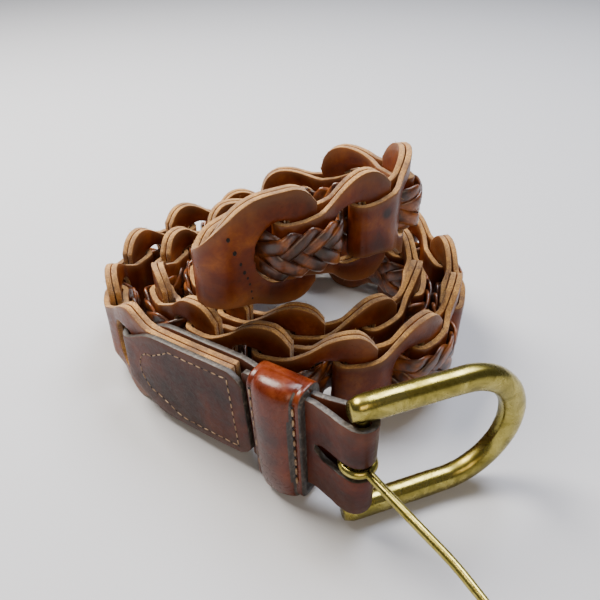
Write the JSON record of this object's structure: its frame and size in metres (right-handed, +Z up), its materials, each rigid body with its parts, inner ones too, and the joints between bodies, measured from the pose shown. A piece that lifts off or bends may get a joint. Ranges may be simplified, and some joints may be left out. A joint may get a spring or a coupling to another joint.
{
  "type": "laced leather belt with a brass buckle, rolled up on its edge",
  "caption": "Rolled belt of folded, interlaced leather links with a flat braid woven through them, a sewn buckle strap, a padded keeper and a brass buckle with a prong.",
  "frame": {"origin": "middle of the bounding box's underside, on the surface that the belt stands on", "axes": "+Z up; -Y towards the front, where the buckle strap and the keeper are; +X towards the buckle's bow"},
  "size_m": [0.1334, 0.1804, 0.0774],
  "materials": {
    "link_leather": "waxed brown grain with raw tan edges",
    "strap_leather": "smooth dark brown",
    "keeper_leather": "glossy chestnut",
    "lace_leather": "soft dark brown",
    "brass": "aged, polished by wear"
  },
  "bodies": {
    "belt": {"link_01": "link_leather", "link_02": "link_leather", "link_03": "link_leather", "link_04": "link_leather", "link_05": "link_leather", "link_06": "link_leather", "link_07": "link_leather", "link_08": "link_leather", "link_09": "link_leather", "link_10": "link_leather", "link_11": "link_leather", "link_12": "link_leather", "link_13": "link_leather", "link_14": "link_leather", "link_15": "link_leather", "link_16": "link_leather", "link_17": "link_leather", "link_18": "link_leather", "link_19": "link_leather", "link_20": "link_leather", "link_21": "link_leather", "link_22": "link_leather", "link_23": "link_leather", "link_24": "link_leather", "link_25": "link_leather", "link_26": "link_leather", "link_27": "link_leather", "link_28": "link_leather", "link_29": "link_leather", "link_30": "link_leather", "buckle_strap": "strap_leather", "keeper": "keeper_leather", "tip_strap": "link_leather", "center_braid_1": "lace_leather", "center_braid_2": "lace_leather", "center_braid_3": "lace_leather", "center_braid_4": "lace_leather", "center_braid_5": "lace_leather", "center_braid_6": "lace_leather"},
    "frame": {"buckle_frame": "brass"},
    "prong": {"buckle_prong": "brass"}
  },
  "joints": [
    {"name": "buckle_swing", "type": "hinge", "parent": "belt", "child": "frame", "pos_m": [0.01876, -0.04839, 0.02406], "axis": [0, 0, 1], "range_deg": [-60, 12]},
    {"name": "prong_swing", "type": "hinge", "parent": "frame", "child": "prong", "pos_m": [0.01876, -0.04839, 0.02406], "axis": [0, 0, 1], "range_deg": [-25, 66]}
  ]
}
